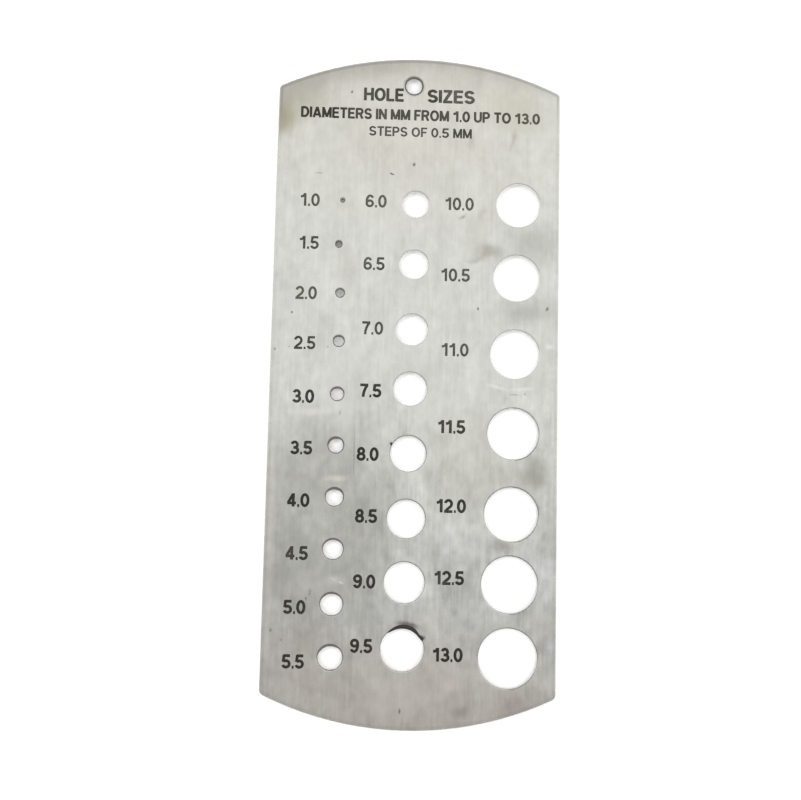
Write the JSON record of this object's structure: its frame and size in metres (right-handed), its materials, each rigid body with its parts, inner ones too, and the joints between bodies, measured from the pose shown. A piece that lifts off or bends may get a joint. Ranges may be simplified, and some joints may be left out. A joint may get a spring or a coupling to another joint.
{
  "type": "drill size gauge",
  "caption": "Flat stainless drill gauge: a sheet with straight sides and curved ends, columns of graded round holes with size numbers, and a hang hole in its top end.",
  "frame": {"origin": "centre of the sheet's underside", "axes": "+X to the right as the numbers are read, +Y along the sheet towards the hang hole, +Z out of the numbered face"},
  "size_m": [0.065, 0.152, 0.0015],
  "materials": {
    "stainless_sheet": "satin",
    "marking_ink": "matte"
  },
  "bodies": {
    "root": {"gauge_plate": "stainless_sheet"}
  },
  "joints": []
}
